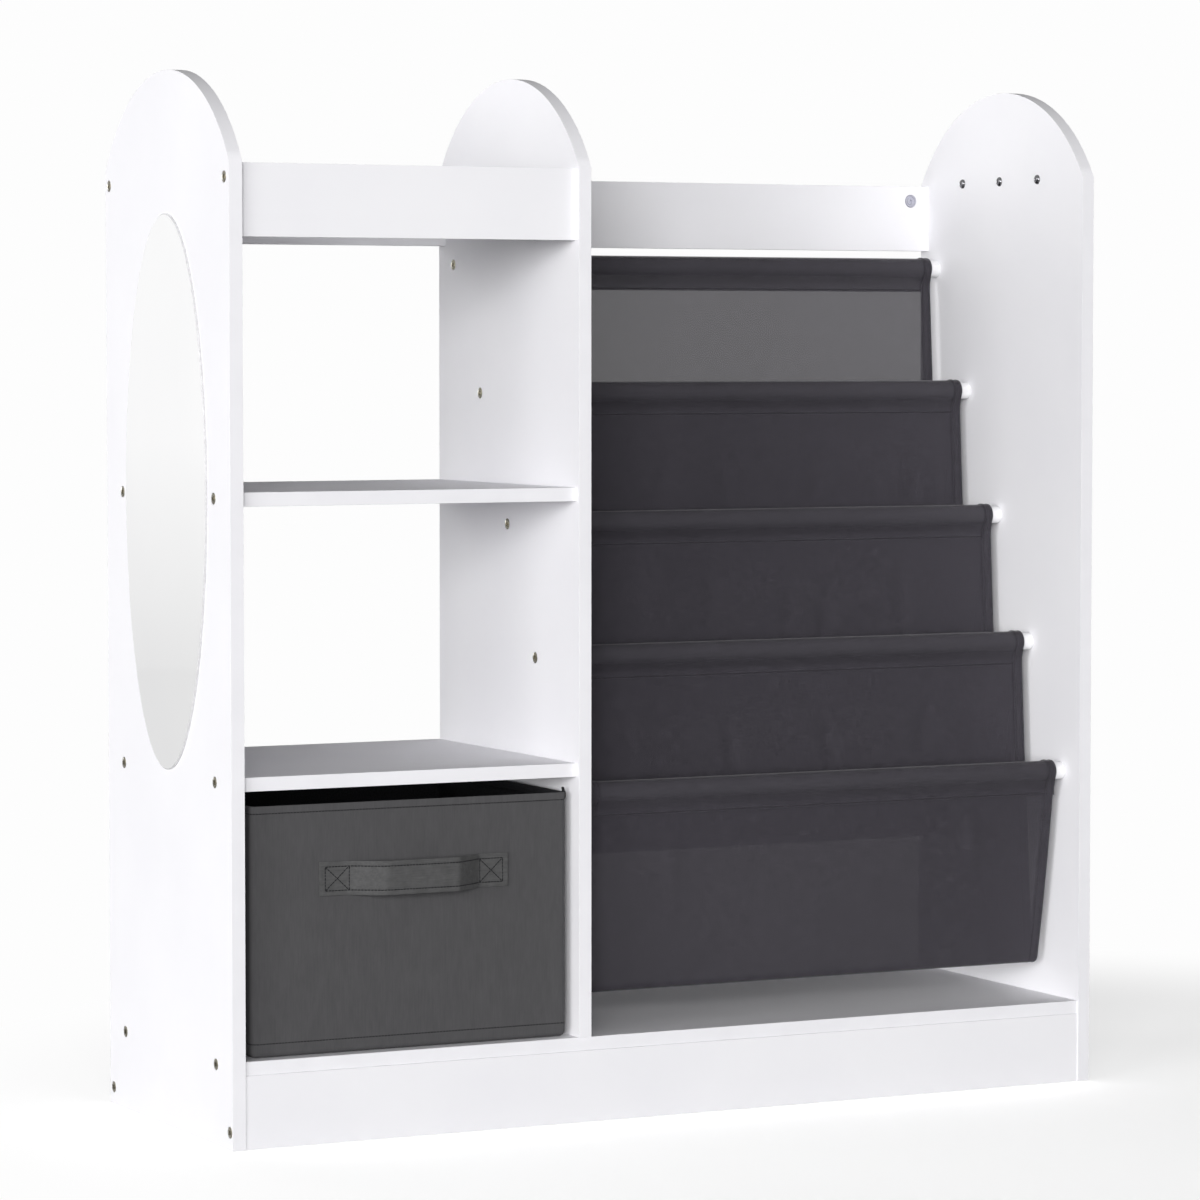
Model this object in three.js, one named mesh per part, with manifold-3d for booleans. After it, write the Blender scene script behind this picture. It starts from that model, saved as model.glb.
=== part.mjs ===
// A child's storage unit. The left bay has two open shelves over a fabric bin, and the right bay
// holds books in a fabric sling that hangs on five dowels. Three arched panels carry everything.
// Sizes are in millimetres. X runs to the right, Y to the back and Z up, measured from the left
// front corner on the floor. The group at the end moves the origin to the middle of the base.
import * as THREE from 'three';
import { mergeVertices } from 'three/addons/utils/BufferGeometryUtils.js';
import Module from 'manifold-3d';

const wasm = await Module();
wasm.setup();

// Case
const unitWidth = 855;
const unitDepth = 290;
const unitHeight = 918;
const archRise = 83;
const boardThickness = 12;
const leftBayWidth = 315;
const cubbyHeight = 229;
const plinthHeight = 63;
const plinthRecess = 1;
const bottomBoardRecess = 2;
const shelfRecess = 5.5;
const backRecess = 2;
const railHeight = 62;
const railDrop = 1;
const archSteps = 16;

// Clearances
const fitGap = 0.3;
const cutOverrun = 1;

// Connecting screws, with a flat socket head that sits flush in the board
const screwHeadDiameter = 10;
const screwHeadHeight = 2;
const screwSocketDiameter = 5;
const screwSocketDepth = 1.2;
const screwShankDiameter = 5;
const screwLength = 40;
const screwTipLength = 4;
const screwSides = 12;
const shelfScrewInset = 38;
const railScrewDrop = 12;
const plinthScrewHeight = 15;

// Cam locks and bolts of the right bay's back rail
const camDiameter = 12;
const camDepth = 9;
const camRingWidth = 1.6;
const camRingDepth = 0.6;
const camSlotDiameter = 3;
const camInset = 20;
const camDrop = 14;
const camSides = 20;
const camBoltDiameter = 5;
const camBoltBite = 8;

// Dowels, counted from the highest one at the back to the lowest one at the front
const dowelCount = 5;
const dowelDiameter = 16;
const lowestDowelSetback = 31.5;
const topDowelClearance = 16.5;
const topDowelDrop = 17.5;
const dowelSides = 24;

// Sling: one strip of cloth, sewn into a sleeve round each dowel and folded between them
const clothThickness = 1;
const slingSideGap = 9;
const seamDrop = 22;
const seamBand = 7;
const pocketDepth = 182;
const slingFloorGap = 29.5;
const foldSetback = 30.5;
const foldRadius = 4.5;
const clothBow = 2.5;
const clothWave = 1.6;
const sleeveSteps = 9;
const lineSteps = 4;
const clothStations = 12;
const wavesAcross = 1.5;

// Fabric bin, with a loose base insert and a strap handle
const binLeftGap = 10.5;
const binRightGap = 6;
const binSetback = 12;
const binBackGap = 13;
const binTopGap = 14;
const binWall = 3;
const binCornerRadius = 6;
const insertThickness = 3;
const insertClearance = 1.5;
const cornerSteps = 4;
const handleLength = 178;
const handleWidth = 29;
const handleThickness = 2;
const handleRise = 17;
const handlePadLength = 28;
const handleRampLength = 26;
const handleDrop = 64.5;
const handleShift = 1.75;

// Oval mirror on the outside of the left panel
const mirrorHalfHeight = 241;
const mirrorHalfWidth = 94;
const mirrorThickness = 2;
const mirrorDrop = 40.5;
const mirrorSteps = 40;

// Coat pegs on the outside of the right panel, each held by a screw from inside
const pegCount = 3;
const pegSpacing = 67;
const pegReach = 30;
const pegNeckDiameter = 14;
const pegFootDiameter = 20;
const pegFootHeight = 4;
const pegHeadDiameter = 24;
const pegHeadHeight = 9;
const pegSides = 16;
const pegScrewDiameter = 4;
const pegScrewBite = 18;
const pegScrewHeadDiameter = 9;
const pegScrewHeadHeight = 2.4;

// Heights and places that follow from the sizes above
const dividerX = boardThickness + leftBayWidth;
const rightPanelX = unitWidth - boardThickness;
const rightBayX = dividerX + boardThickness;
const rightBayWidth = rightPanelX - rightBayX;
const caseWidth = rightPanelX - boardThickness;
const bottomBoardTop = plinthHeight + boardThickness;
const lowerShelfBase = bottomBoardTop + cubbyHeight;
const middleShelfBase = lowerShelfBase + boardThickness + cubbyHeight;
const shoulderHeight = unitHeight - archRise;
const railTop = shoulderHeight - railDrop;
const railBase = railTop - railHeight;
const backPieceY = unitDepth - backRecess - boardThickness;
const dowelRadius = dowelDiameter / 2;
const headRadius = screwHeadDiameter / 2;
const shankRadius = screwShankDiameter / 2;

// Places of the dowels in depth and height. They climb in even steps from the lowest one, whose
// pocket ends just over the bottom board, to the highest one, in front of and below the back rail.
const lowestDowelHeight = bottomBoardTop + slingFloorGap + pocketDepth;
const lowestDowel = new THREE.Vector2(lowestDowelSetback, lowestDowelHeight);
const highestDowel = new THREE.Vector2(backPieceY - topDowelClearance, railBase - topDowelDrop);
const dowels = Array.from({ length: dowelCount }, (_, i) => {
  const share = i / (dowelCount - 1);
  return highestDowel.clone().lerp(lowestDowel, share);
});

// Finishes
const finishes = {
  whiteBoard: { color: 0xefeef3, roughness: 0.45, metalness: 0 },
  whitePaint: { color: 0xf2f1f4, roughness: 0.4, metalness: 0 },
  mirror: { color: 0xe6e9ec, roughness: 0.05, metalness: 1 },
  slingCloth: { color: 0x3a3840, roughness: 0.9, metalness: 0 },
  binCloth: { color: 0x4d4c4e, roughness: 0.92, metalness: 0 },
  binCard: { color: 0x454446, roughness: 0.9, metalness: 0 },
  screwSteel: { color: 0xb4aca0, roughness: 0.35, metalness: 1 },
  zinc: { color: 0xa9a9b6, roughness: 0.4, metalness: 0.8 },
};

const unit = new THREE.Group();
const bin = new THREE.Group();
unit.add(bin);

function addPiece(name, geometry, finish, at = new THREE.Vector3(), parent = unit) {
  const piece = new THREE.Mesh(geometry, new THREE.MeshStandardMaterial(finishes[finish]));
  piece.name = name;
  piece.position.copy(at);
  parent.add(piece);
  return piece;
}

function toSolid(geometry) {
  const bare = geometry.clone();
  bare.deleteAttribute('normal');
  bare.deleteAttribute('uv');
  const merged = mergeVertices(bare);
  const vertProperties = Float32Array.from(merged.attributes.position.array);
  const triVerts = Uint32Array.from(merged.index.array);
  return new wasm.Manifold(new wasm.Mesh({ numProp: 3, vertProperties, triVerts }));
}

function toGeometry(solid) {
  const mesh = solid.getMesh();
  const geometry = new THREE.BufferGeometry();
  geometry.setAttribute('position', new THREE.BufferAttribute(mesh.vertProperties, 3));
  geometry.setIndex(new THREE.BufferAttribute(mesh.triVerts, 1));
  geometry.computeVertexNormals();
  return geometry;
}

// Cuts the given shapes, which lie in the unit's own coordinates, out of a piece placed at a corner.
// A shape that doesn't reach the piece is passed over.
function cut(geometry, corner, cutters) {
  const extent = new THREE.Box3().setFromBufferAttribute(geometry.attributes.position);
  extent.translate(corner);
  let solid = toSolid(geometry);
  for (const cutter of cutters) {
    cutter.computeBoundingBox();
    if (!cutter.boundingBox.intersectsBox(extent)) continue;
    const local = cutter.clone().translate(-corner.x, -corner.y, -corner.z);
    solid = solid.subtract(toSolid(local));
  }
  return toGeometry(solid);
}

// Extrudes an outline drawn in depth and height along the unit's width.
const depthHeightWidth = new THREE.Matrix4().makeBasis(
  new THREE.Vector3(0, 1, 0),
  new THREE.Vector3(0, 0, 1),
  new THREE.Vector3(1, 0, 0),
);

function alongWidth(shape, width, steps) {
  const settings = { depth: width, bevelEnabled: false, curveSegments: steps };
  return new THREE.ExtrudeGeometry(shape, settings).applyMatrix4(depthHeightWidth);
}

// A turned shape whose axis starts at a point and runs in a direction.
const turningAxis = new THREE.Vector3(0, 1, 0);

function turned(points, sides, at, direction) {
  const profile = points.map(([radius, along]) => new THREE.Vector2(radius, along));
  const turn = new THREE.Quaternion().setFromUnitVectors(turningAxis, direction);
  const place = new THREE.Matrix4().makeRotationFromQuaternion(turn).setPosition(at);
  return new THREE.LatheGeometry(profile, sides).applyMatrix4(place);
}

const toRight = new THREE.Vector3(1, 0, 0);
const toLeft = new THREE.Vector3(-1, 0, 0);
const toBack = new THREE.Vector3(0, 1, 0);

// Connecting screws. Each also gives the hole that it needs in the boards and dowels.
const screwHoles = [];

function connectingScrew(name, at, direction) {
  const neckEnd = screwHeadHeight + headRadius - shankRadius;
  const screw = [
    [0, screwSocketDepth],
    [screwSocketDiameter / 2, screwSocketDepth],
    [screwSocketDiameter / 2, 0],
    [headRadius, 0],
    [headRadius, screwHeadHeight],
    [shankRadius, neckEnd],
    [shankRadius, screwLength - screwTipLength],
    [0, screwLength],
  ];
  const hole = [
    [0, -cutOverrun],
    [headRadius + fitGap, -cutOverrun],
    [headRadius + fitGap, screwHeadHeight + fitGap],
    [shankRadius + fitGap, neckEnd + fitGap],
    [shankRadius + fitGap, screwLength + fitGap],
    [0, screwLength + fitGap],
  ];
  addPiece(name, turned(screw, screwSides, new THREE.Vector3(), direction), 'screwSteel', at);
  screwHoles.push(turned(hole, screwSides, at, direction));
}

const frontRailY = shelfRecess + boardThickness / 2;
const backRailY = backPieceY + boardThickness / 2;
const frontPlinthY = plinthRecess + boardThickness / 2;
const railScrewZ = railTop - railScrewDrop;
const leftScrews = [
  ['left_front_rail_screw', frontRailY, railScrewZ],
  ['left_back_rail_screw', backRailY, railScrewZ],
  ['front_plinth_screw', frontPlinthY, plinthScrewHeight],
  ['back_plinth_screw', backRailY, plinthScrewHeight],
];
const shelvesByName = [
  ['middle_shelf', middleShelfBase],
  ['lower_shelf', lowerShelfBase],
  ['bottom_board', plinthHeight],
];
for (const [name, base] of shelvesByName) {
  const z = base + boardThickness / 2;
  leftScrews.push([`${name}_front_screw`, shelfScrewInset, z]);
  leftScrews.push([`${name}_back_screw`, unitDepth - shelfScrewInset, z]);
}
for (const [name, y, z] of leftScrews) {
  connectingScrew(name, new THREE.Vector3(0, y, z), toRight);
}
dowels.forEach((dowel, i) => {
  const name = `dowel_${i + 1}`;
  connectingScrew(`${name}_left_screw`, new THREE.Vector3(dividerX, dowel.x, dowel.y), toRight);
  connectingScrew(`${name}_right_screw`, new THREE.Vector3(unitWidth, dowel.x, dowel.y), toLeft);
});

// Cam locks in the front face of the right bay's back rail, and the bolts that they grip
const camZ = railTop - camDrop;
const camHoles = [];

function camLock(side, camX, wallX, direction) {
  const camRadius = camDiameter / 2;
  const ringRadius = camRadius - camRingWidth;
  const cam = [
    [0, camRingDepth],
    [camSlotDiameter / 2, camRingDepth],
    [camSlotDiameter / 2, 0],
    [ringRadius - camRingWidth, 0],
    [ringRadius - camRingWidth, camRingDepth],
    [ringRadius, camRingDepth],
    [ringRadius, 0],
    [camRadius, 0],
    [camRadius, camDepth],
    [0, camDepth],
  ];
  const pocket = [
    [0, -cutOverrun],
    [camRadius + fitGap, -cutOverrun],
    [camRadius + fitGap, camDepth + fitGap],
    [0, camDepth + fitGap],
  ];
  const camAt = new THREE.Vector3(camX, backPieceY, camZ);
  addPiece(`cam_lock_${side}`, turned(cam, camSides, new THREE.Vector3(), toBack), 'zinc', camAt);
  camHoles.push(turned(pocket, camSides, camAt, toBack));

  const boltRadius = camBoltDiameter / 2;
  const boltLength = camBoltBite + camInset - camRadius - fitGap;
  const bolt = [
    [0, 0],
    [boltRadius, 0],
    [boltRadius, boltLength],
    [0, boltLength],
  ];
  const bore = [
    [0, -fitGap],
    [boltRadius + fitGap, -fitGap],
    [boltRadius + fitGap, camBoltBite + camInset],
    [0, camBoltBite + camInset],
  ];
  const boltAt = new THREE.Vector3(wallX, backRailY, camZ);
  boltAt.addScaledVector(direction, -camBoltBite);
  const boltShape = turned(bolt, screwSides, new THREE.Vector3(), direction);
  addPiece(`cam_bolt_${side}`, boltShape, 'screwSteel', boltAt);
  camHoles.push(turned(bore, screwSides, boltAt, direction));
}

camLock('left', rightBayX + camInset, rightBayX, toRight);
camLock('right', rightPanelX - camInset, rightPanelX, toLeft);

// Coat pegs and their screws. The screw's head stands on the panel's inner face.
const pegHoles = [];
for (let i = 0; i < pegCount; i += 1) {
  const y = unitDepth / 2 + (i - (pegCount - 1) / 2) * pegSpacing;
  const foot = new THREE.Vector3(unitWidth, y, shoulderHeight);
  const screwRadius = pegScrewDiameter / 2;
  const neckRadius = pegNeckDiameter / 2;
  const headBase = pegReach - pegHeadHeight;
  const peg = [
    [0, pegScrewBite + fitGap],
    [screwRadius + fitGap, pegScrewBite + fitGap],
    [screwRadius + fitGap, 0],
    [pegFootDiameter / 2, 0],
    [neckRadius, pegFootHeight],
    [neckRadius, headBase],
    [pegHeadDiameter / 2, headBase + pegHeadHeight / 3],
    [pegHeadDiameter / 2, headBase + pegHeadHeight * 2 / 3],
    [pegHeadDiameter / 3, pegReach],
    [0, pegReach],
  ];
  addPiece(`coat_peg_${i + 1}`, turned(peg, pegSides, new THREE.Vector3(), toRight), 'whitePaint', foot);

  const screwHead = new THREE.Vector3(rightPanelX - pegScrewHeadHeight, y, shoulderHeight);
  const screwReach = pegScrewHeadHeight + boardThickness + pegScrewBite;
  const screw = [
    [0, 0],
    [pegScrewHeadDiameter / 4, 0],
    [pegScrewHeadDiameter / 2, pegScrewHeadHeight / 2],
    [pegScrewHeadDiameter / 2, pegScrewHeadHeight],
    [screwRadius, pegScrewHeadHeight],
    [screwRadius, screwReach],
    [0, screwReach],
  ];
  const screwShape = turned(screw, screwSides, new THREE.Vector3(), toRight);
  addPiece(`coat_peg_${i + 1}_screw`, screwShape, 'screwSteel', screwHead);
  const hole = [
    [0, 0],
    [screwRadius + fitGap, 0],
    [screwRadius + fitGap, screwReach],
    [0, screwReach],
  ];
  pegHoles.push(turned(hole, screwSides, screwHead, toRight));
}

// Upright panels: straight edges up to the shoulders, with an arc over the top. The outer two
// stand on the floor and the divider stands on the bottom board.
const drillings = [...screwHoles, ...camHoles, ...pegHoles];

function archedPanel(name, x, base) {
  const half = unitDepth / 2;
  const radius = (half * half + archRise * archRise) / (2 * archRise);
  const sweep = Math.asin(half / radius);
  const outline = new THREE.Shape();
  outline.moveTo(0, 0);
  outline.lineTo(unitDepth, 0);
  outline.lineTo(unitDepth, shoulderHeight - base);
  outline.absarc(half, unitHeight - base - radius, radius, Math.PI / 2 - sweep, Math.PI / 2 + sweep);
  outline.closePath();
  const corner = new THREE.Vector3(x, 0, base);
  const panel = alongWidth(outline, boardThickness, archSteps);
  addPiece(name, cut(panel, corner, drillings), 'whiteBoard', corner);
}

archedPanel('left_side_panel', 0, 0);
archedPanel('divider_panel', dividerX, bottomBoardTop);
archedPanel('right_side_panel', rightPanelX, 0);

// Flat boards, each given by its lowest left front corner and its size
function board(name, corner, size) {
  const block = new THREE.BoxGeometry(size.x, size.y, size.z);
  block.translate(size.x / 2, size.y / 2, size.z / 2);
  addPiece(name, cut(block, corner, drillings), 'whiteBoard', corner);
}

function shelf(name, width, recess, base) {
  const size = new THREE.Vector3(width, unitDepth - recess, boardThickness);
  board(name, new THREE.Vector3(boardThickness, recess, base), size);
}

function uprightStrip(name, x, y, z, width, height) {
  board(name, new THREE.Vector3(x, y, z), new THREE.Vector3(width, boardThickness, height));
}

shelf('bottom_board', caseWidth, bottomBoardRecess, plinthHeight);
shelf('lower_shelf', leftBayWidth, shelfRecess, lowerShelfBase);
shelf('middle_shelf', leftBayWidth, shelfRecess, middleShelfBase);
uprightStrip('front_plinth', boardThickness, plinthRecess, 0, caseWidth, plinthHeight);
uprightStrip('back_plinth', boardThickness, backPieceY, 0, caseWidth, plinthHeight);
uprightStrip('left_front_rail', boardThickness, shelfRecess, railBase, leftBayWidth, railHeight);
uprightStrip('left_back_rail', boardThickness, backPieceY, railBase, leftBayWidth, railHeight);
uprightStrip('right_back_rail', rightBayX, backPieceY, railBase, rightBayWidth, railHeight);

// Oval mirror, glued flat on the outside of the left panel
const mirrorZ = shoulderHeight - mirrorDrop - mirrorHalfHeight;
const oval = new THREE.Shape();
oval.absellipse(unitDepth / 2, mirrorZ, mirrorHalfWidth, mirrorHalfHeight, 0, 2 * Math.PI);
const mirrorPlate = alongWidth(oval, mirrorThickness, mirrorSteps);
addPiece('oval_mirror', mirrorPlate, 'mirror', new THREE.Vector3(-mirrorThickness, 0, 0));

// Dowels, with a pilot hole for the screw in each end
dowels.forEach((dowel, i) => {
  const rod = new THREE.CylinderGeometry(dowelRadius, dowelRadius, rightBayWidth, dowelSides);
  rod.rotateZ(Math.PI / 2);
  rod.translate(rightBayWidth / 2, 0, 0);
  const start = new THREE.Vector3(rightBayX, dowel.x, dowel.y);
  addPiece(`dowel_${i + 1}`, cut(rod, start, screwHoles), 'whitePaint', start);
});

// Sleeves: the cloth goes round the dowel, and both layers are sewn flat to each other below it
const slingX = rightBayX + slingSideGap;
const slingWidth = rightBayWidth - 2 * slingSideGap;
const layerOffset = (clothThickness + fitGap) / 2;

function teardrop(radius, lip, lipTop) {
  const reach = Math.hypot(lip, lipTop);
  const toLip = Math.atan2(lipTop, lip);
  const tangent = toLip + Math.acos(radius / reach);
  const outline = new THREE.Shape();
  outline.absarc(0, 0, radius, tangent, Math.PI - tangent, false);
  return outline;
}

function sleeve(name, dowel) {
  const innerRadius = dowelRadius + fitGap;
  const outerRadius = innerRadius + clothThickness;
  const lip = layerOffset + clothThickness / 2;
  const lipTop = seamBand - seamDrop;
  const outline = teardrop(outerRadius, lip, lipTop);
  outline.lineTo(-lip, lipTop);
  outline.lineTo(-lip, -seamDrop);
  outline.lineTo(lip, -seamDrop);
  outline.lineTo(lip, lipTop);
  outline.closePath();
  const bore = teardrop(innerRadius, 0, lipTop);
  bore.lineTo(0, lipTop);
  bore.closePath();
  outline.holes.push(bore);
  const tube = alongWidth(outline, slingWidth, sleeveSteps);
  addPiece(name, tube, 'slingCloth', new THREE.Vector3(slingX, dowel.x, dowel.y));
}

// The line of a pocket in depth and height, from the seam above its back panel, down round the
// fold and up to the seam under its front dowel. Both panels bow a little away from the pocket.
function pocketLine(backDowel, frontDowel) {
  const seamZ = -seamDrop - fitGap;
  const backTop = new THREE.Vector2(backDowel.x - layerOffset, backDowel.y + seamZ);
  const frontTop = new THREE.Vector2(frontDowel.x + layerOffset, frontDowel.y + seamZ);
  const foldY = frontDowel.x + foldSetback;
  const foldZ = frontDowel.y - pocketDepth + foldRadius + clothThickness / 2;
  const backLow = new THREE.Vector2(foldY + foldRadius, foldZ);
  const frontLow = new THREE.Vector2(foldY - foldRadius, foldZ);
  const backMiddle = backTop.clone().add(backLow).divideScalar(2);
  const frontMiddle = frontTop.clone().add(frontLow).divideScalar(2);
  const line = new THREE.Path();
  line.moveTo(backTop.x, backTop.y);
  line.quadraticCurveTo(backMiddle.x + clothBow, backMiddle.y, backLow.x, backLow.y);
  line.absarc(foldY, foldZ, foldRadius, 0, -Math.PI, true);
  line.quadraticCurveTo(frontMiddle.x - clothBow, frontMiddle.y, frontTop.x, frontTop.y);
  return line.getPoints(lineSteps);
}

// A sheet of cloth that follows a line in depth and height across the sling's width. Shallow
// upright waves fade out towards the seams and the sides.
function clothSheet(line, wavePhase) {
  const lengths = line.map((point, i) => (i ? point.distanceTo(line[i - 1]) : 0));
  const total = lengths.reduce((sum, length) => sum + length, 0);
  let run = 0;
  const rows = line.map((point, i) => {
    run += lengths[i];
    const before = line[Math.max(i - 1, 0)];
    const after = line[Math.min(i + 1, line.length - 1)];
    const along = after.clone().sub(before).normalize();
    const across = new THREE.Vector2(-along.y, along.x).multiplyScalar(clothThickness / 2);
    return { point, across, fade: Math.sin(Math.PI * run / total) ** 2 };
  });
  const ring = [
    ...rows.map((row) => ({ ...row, side: -1 })),
    ...rows.map((row) => ({ ...row, side: 1 })).reverse(),
  ];
  const positions = [];
  for (let station = 0; station <= clothStations; station += 1) {
    const share = station / clothStations;
    const wave = clothWave * Math.sin(2 * Math.PI * wavesAcross * share + wavePhase);
    for (const { point, across, fade, side } of ring) {
      const y = point.x + side * across.x + wave * fade * Math.sin(Math.PI * share);
      positions.push(share * slingWidth, y, point.y + side * across.y);
    }
  }
  const indices = [];
  const count = ring.length;
  for (let station = 0; station < clothStations; station += 1) {
    for (let i = 0; i < count; i += 1) {
      const here = station * count + i;
      const next = station * count + (i + 1) % count;
      indices.push(here, next, here + count, next, next + count, here + count);
    }
  }
  const last = clothStations * count;
  for (let i = 0; i < rows.length - 1; i += 1) {
    const far = count - 1 - i;
    indices.push(i, far, i + 1, i + 1, far, far - 1);
    indices.push(last + i, last + i + 1, last + far, last + i + 1, last + far - 1, last + far);
  }
  const geometry = new THREE.BufferGeometry();
  geometry.setAttribute('position', new THREE.Float32BufferAttribute(positions, 3));
  geometry.setIndex(indices);
  geometry.computeVertexNormals();
  return geometry;
}

dowels.forEach((dowel, i) => sleeve(`sling_sleeve_${i + 1}`, dowel));
for (let i = 0; i < dowelCount - 1; i += 1) {
  const line = pocketLine(dowels[i], dowels[i + 1]);
  const pocket = clothSheet(line, i);
  addPiece(`sling_pocket_${i + 1}`, pocket, 'slingCloth', new THREE.Vector3(slingX, 0, 0));
}

// Bin: an open box of card-stiffened cloth with round corners, standing on the bottom board
const binWidth = leftBayWidth - binLeftGap - binRightGap;
const binDepth = unitDepth - binSetback - binBackGap;
const binHeight = cubbyHeight - binTopGap;
const binCorner = new THREE.Vector3(boardThickness + binLeftGap, binSetback, bottomBoardTop + fitGap);

function roundedBlock(width, depth, height, radius) {
  const outline = new THREE.Shape();
  outline.moveTo(radius, 0);
  outline.absarc(width - radius, radius, radius, -Math.PI / 2, 0);
  outline.absarc(width - radius, depth - radius, radius, 0, Math.PI / 2);
  outline.absarc(radius, depth - radius, radius, Math.PI / 2, Math.PI);
  outline.absarc(radius, radius, radius, Math.PI, 3 * Math.PI / 2);
  outline.closePath();
  const settings = { depth: height, bevelEnabled: false, curveSegments: cornerSteps };
  return new THREE.ExtrudeGeometry(outline, settings);
}

const binBlock = roundedBlock(binWidth, binDepth, binHeight, binCornerRadius);
const hollowWidth = binWidth - 2 * binWall;
const hollowDepth = binDepth - 2 * binWall;
const hollowRadius = binCornerRadius - binWall;
const binHollow = roundedBlock(hollowWidth, hollowDepth, binHeight, hollowRadius);
binHollow.translate(binWall, binWall, binWall).translate(binCorner.x, binCorner.y, binCorner.z);
addPiece('bin_shell', cut(binBlock, binCorner, [binHollow]), 'binCloth', binCorner, bin);

const insertWidth = hollowWidth - 2 * insertClearance;
const insertDepth = hollowDepth - 2 * insertClearance;
const insertPlate = roundedBlock(insertWidth, insertDepth, insertThickness, hollowRadius);
const insertInset = binWall + insertClearance;
const insertAt = new THREE.Vector3(insertInset, insertInset, binWall + fitGap).add(binCorner);
addPiece('bin_base_insert', insertPlate, 'binCard', insertAt, bin);

// Handle: a flat strap, sewn down at both ends and standing off the bin's front between them
const strapInner = [
  [0, 0],
  [handlePadLength, 0],
  [handlePadLength + handleRampLength, handleRise],
  [handleLength - handlePadLength - handleRampLength, handleRise],
  [handleLength - handlePadLength, 0],
  [handleLength, 0],
];
const strapOutline = new THREE.Shape();
strapInner.forEach(([along, rise], i) => {
  if (i === 0) strapOutline.moveTo(along, -rise);
  else strapOutline.lineTo(along, -rise);
});
[...strapInner].reverse().forEach(([along, rise]) => {
  strapOutline.lineTo(along, -rise - handleThickness);
});
strapOutline.closePath();
const strap = new THREE.ExtrudeGeometry(strapOutline, { depth: handleWidth, bevelEnabled: false });
const handleX = (binWidth - handleLength) / 2 + handleShift;
const handleZ = binHeight - handleDrop - handleWidth / 2;
const handleAt = new THREE.Vector3(handleX, -fitGap, handleZ).add(binCorner);
addPiece('bin_handle', strap, 'binCloth', handleAt, bin);

// The origin goes to the middle of the base of everything, with the mirror, pegs and handle.
const leftmost = -mirrorThickness;
const rightmost = unitWidth + pegReach;
const foremost = Math.min(0, handleAt.y - handleRise - handleThickness);
unit.position.set(-(leftmost + rightmost) / 2, -(foremost + unitDepth) / 2, 0);

export default unit;
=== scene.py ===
import math
import random

import bpy
from mathutils import Matrix, Vector


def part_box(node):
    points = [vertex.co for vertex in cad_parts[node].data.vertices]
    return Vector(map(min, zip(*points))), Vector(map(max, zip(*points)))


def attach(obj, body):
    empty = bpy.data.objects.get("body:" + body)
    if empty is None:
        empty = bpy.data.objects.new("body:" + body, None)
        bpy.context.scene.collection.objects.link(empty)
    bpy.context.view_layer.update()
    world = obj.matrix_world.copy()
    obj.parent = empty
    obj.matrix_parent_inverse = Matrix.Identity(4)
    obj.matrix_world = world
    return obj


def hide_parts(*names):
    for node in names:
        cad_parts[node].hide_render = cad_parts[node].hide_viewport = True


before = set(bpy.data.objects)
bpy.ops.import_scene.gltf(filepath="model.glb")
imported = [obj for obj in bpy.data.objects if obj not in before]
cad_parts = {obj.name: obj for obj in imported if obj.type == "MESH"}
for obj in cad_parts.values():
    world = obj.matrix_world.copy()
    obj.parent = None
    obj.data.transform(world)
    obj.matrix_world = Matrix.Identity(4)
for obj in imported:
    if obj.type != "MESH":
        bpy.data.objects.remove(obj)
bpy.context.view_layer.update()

mm = 0.001

# The studio. The camera stands well back, left of the unit, and looks slightly down. The floor is
# a matt white board that runs out into the white background. Four large soft lamps light the unit
# from its front and left, and two weaker ones fill its right and its back.


def node(tree, kind, settings=None, **inputs):
    """A shader node. A socket given as an input is linked, and anything else is its value."""
    made = tree.nodes.new("ShaderNode" + kind)
    for name, value in (settings or {}).items():
        setattr(made, name, value)
    for name, value in inputs.items():
        socket = made.inputs[name.replace("_", " ")]
        if isinstance(value, bpy.types.NodeSocket):
            tree.links.new(value, socket)
        else:
            socket.default_value = value
    return made


def only(*pieces):
    """Selects these pieces and nothing else, the last one active."""
    bpy.ops.object.select_all(action="DESELECT")
    for piece in pieces:
        piece.select_set(True)
        bpy.context.view_layer.objects.active = piece


def worked(tree, operation, first, second):
    """The result of an operation on two numbers, each of them a socket or a value."""
    step = node(tree, "Math", {"operation": operation})
    for socket, number in zip(step.inputs, (first, second)):
        if isinstance(number, bpy.types.NodeSocket):
            tree.links.new(number, socket)
        else:
            socket.default_value = number
    return step.outputs[0]


camera_place = (-1.9269, -3.7818, 0.6801)
camera_down, camera_turn = 0.0543, -0.4664
sensor_width = 36
lens_in_pixels, picture_width = 4672.77, 1200
bpy.ops.object.camera_add(
    location=camera_place, rotation=(math.pi / 2 - camera_down, 0, camera_turn)
)
camera = bpy.context.object
camera.data.sensor_width = sensor_width
camera.data.lens = sensor_width * lens_in_pixels / picture_width
bpy.context.scene.camera = camera
bpy.context.scene.view_settings.view_transform = "Standard"


def seen_directly(tree):
    """1 for what the camera sees, itself, in a mirror or through glass, and 0 for light."""
    path = node(tree, "LightPath").outputs
    mirrored = worked(tree, "MAXIMUM", path["Is Camera Ray"], path["Is Glossy Ray"])
    return worked(tree, "MAXIMUM", mirrored, path["Is Transmission Ray"])


def mixed(tree, share, first, second):
    """The first surface where the share is 0, and the second where it is 1."""
    both = node(tree, "MixShader", Fac=share)
    tree.links.new(first.outputs[0], both.inputs[1])
    tree.links.new(second.outputs[0], both.inputs[2])
    return both


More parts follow.
